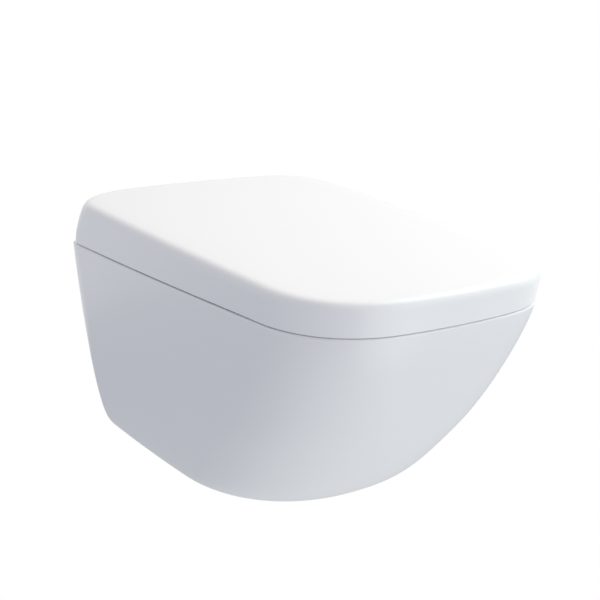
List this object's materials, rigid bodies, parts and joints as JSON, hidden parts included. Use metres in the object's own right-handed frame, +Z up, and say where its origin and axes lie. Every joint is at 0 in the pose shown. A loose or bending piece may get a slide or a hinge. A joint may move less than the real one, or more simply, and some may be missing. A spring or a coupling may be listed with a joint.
{
  "type": "wall-hung toilet with heated washing seat",
  "caption": "Wall-hung ceramic toilet under a full wedge lid, with heated ring seat, rack-driven washing wand, warm-air dryer and odour fan; wall fixings, outlet and supply stub.",
  "frame": {"origin": "midway between the two wall bolts, on the wall plane", "axes": "+Z up, +Y into the wall, so the front of the bowl points to -Y; +X to the right seen from the front"},
  "size_m": [0.3752, 0.5908, 0.3377],
  "materials": {
    "glaze": "high gloss",
    "lid_white": "satin gloss",
    "seat_white": "satin gloss",
    "unit_white": "satin gloss",
    "unit_grey": "fine matte",
    "dark_plastic": "fine matte",
    "natural_plastic": "fine matte",
    "bumper_grey": "soft matte",
    "stainless": "brushed",
    "bright_metal": "polished",
    "motor_steel": "rolled",
    "foil": "bright foil",
    "brass": "machined",
    "hose_clear": "soft translucent",
    "board_green": "lacquered",
    "filter_black": "open cell"
  },
  "bodies": {
    "pan_and_unit": {"pan": "glaze", "wall_anchors": "natural_plastic", "clamp_screws": "stainless", "lid_hinge_brackets": "unit_grey", "lid_damper": "dark_plastic", "seat_hinge_brackets": "unit_grey", "seat_damper": "dark_plastic", "base_plate": "unit_grey", "unit_cover": "unit_white", "nozzle_bay": "unit_white", "drive_motor": "motor_steel", "wand_guide": "natural_plastic", "water_inlet": "brass", "inlet_strainer": "stainless", "inlet_valve": "natural_plastic", "heater_tank": "natural_plastic", "water_pump": "dark_plastic", "water_hoses": "hose_clear", "dryer_duct": "unit_grey", "blower_housing": "unit_grey", "blower_motor": "motor_steel", "dryer_heater": "stainless", "intake_grille": "unit_white", "odour_duct": "unit_grey", "odour_fan_frame": "dark_plastic", "odour_filter": "filter_black", "control_box": "unit_grey", "control_board": "board_green", "power_supply": "dark_plastic", "cable_gland": "dark_plastic", "deck_bolts": "stainless", "button_board": "board_green"},
    "lid_axle": {"lid_hinge_shaft": "stainless"},
    "lid": {"lid_shell": "lid_white", "lid_liner": "lid_white", "lid_hinge_lugs": "lid_white", "lid_bumpers": "bumper_grey"},
    "seat": {"seat_top": "seat_white", "seat_base": "seat_white", "seat_heater_foil": "foil", "seat_bumpers": "bumper_grey", "seat_hinge_pins": "stainless"},
    "wand": {"spray_wand": "bright_metal", "spray_head": "unit_white", "wand_shield": "unit_white", "drive_rack": "natural_plastic"},
    "pinion": {"drive_pinion": "natural_plastic", "drive_spindle": "stainless"},
    "impeller": {"blower_shaft": "stainless", "blower_impeller": "dark_plastic"},
    "fan": {"odour_fan_rotor": "dark_plastic"},
    "flap": {"dryer_flap": "unit_white"},
    "button_1": {"push_button_1": "unit_grey"},
    "button_2": {"push_button_2": "unit_grey"},
    "button_3": {"push_button_3": "unit_grey"},
    "button_4": {"push_button_4": "unit_grey"}
  },
  "joints": [
    {"name": "seat_raise", "type": "hinge", "parent": "pan_and_unit", "child": "seat", "pos_m": [0, -0.15, 0.104], "axis": [1, 0, 0], "range_deg": [-93, 0]},
    {"name": "lid_lift", "type": "hinge", "parent": "pan_and_unit", "child": "lid_axle", "pos_m": [0, -0.016, 0.1345], "axis": [1, 0, 0], "range_deg": [-93, 0]},
    {"name": "lid_open", "type": "hinge", "parent": "lid_axle", "child": "lid", "pos_m": [0, -0.016, 0.1345], "axis": [-1, 0, 0], "range_deg": [0, 93]},
    {"name": "wand_slide", "type": "slide", "parent": "pan_and_unit", "child": "wand", "axis": [0, -0.9613, -0.2756], "range_m": [0, 0.086]},
    {"name": "pinion_spin", "type": "hinge", "parent": "pan_and_unit", "child": "pinion", "pos_m": [0, -0.14653, 0.09531], "axis": [1, 0, 0], "range_deg": [-825, 0]},
    {"name": "dryer_flap_swing", "type": "hinge", "parent": "pan_and_unit", "child": "flap", "pos_m": [0.058, -0.1809, 0.0824], "axis": [-1, 0, 0], "range_deg": [0, 60]},
    {"name": "blower_spin", "type": "hinge", "parent": "pan_and_unit", "child": "impeller", "pos_m": [0.104, -0.074, 0.094], "axis": [0, 0, 1], "continuous": true},
    {"name": "odour_fan_spin", "type": "hinge", "parent": "pan_and_unit", "child": "fan", "pos_m": [-0.058, -0.106, 0.102], "axis": [0, 0, 1], "continuous": true},
    {"name": "button_1_press", "type": "slide", "parent": "pan_and_unit", "child": "button_1", "axis": [0, 0, -1], "range_m": [0, 0.001], "stiffness_N_per_m": 200, "springref_m": -0.001},
    {"name": "button_2_press", "type": "slide", "parent": "pan_and_unit", "child": "button_2", "axis": [0, 0, -1], "range_m": [0, 0.001], "stiffness_N_per_m": 200, "springref_m": -0.001},
    {"name": "button_3_press", "type": "slide", "parent": "pan_and_unit", "child": "button_3", "axis": [0, 0, -1], "range_m": [0, 0.001], "stiffness_N_per_m": 200, "springref_m": -0.001},
    {"name": "button_4_press", "type": "slide", "parent": "pan_and_unit", "child": "button_4", "axis": [0, 0, -1], "range_m": [0, 0.001], "stiffness_N_per_m": 200, "springref_m": -0.001}
  ],
  "couplings": [
    {"joint": "seat_raise", "follows": "lid_lift", "ratio": 1},
    {"joint": "pinion_spin", "follows": "wand_slide", "rad_per_m": -166.67}
  ]
}
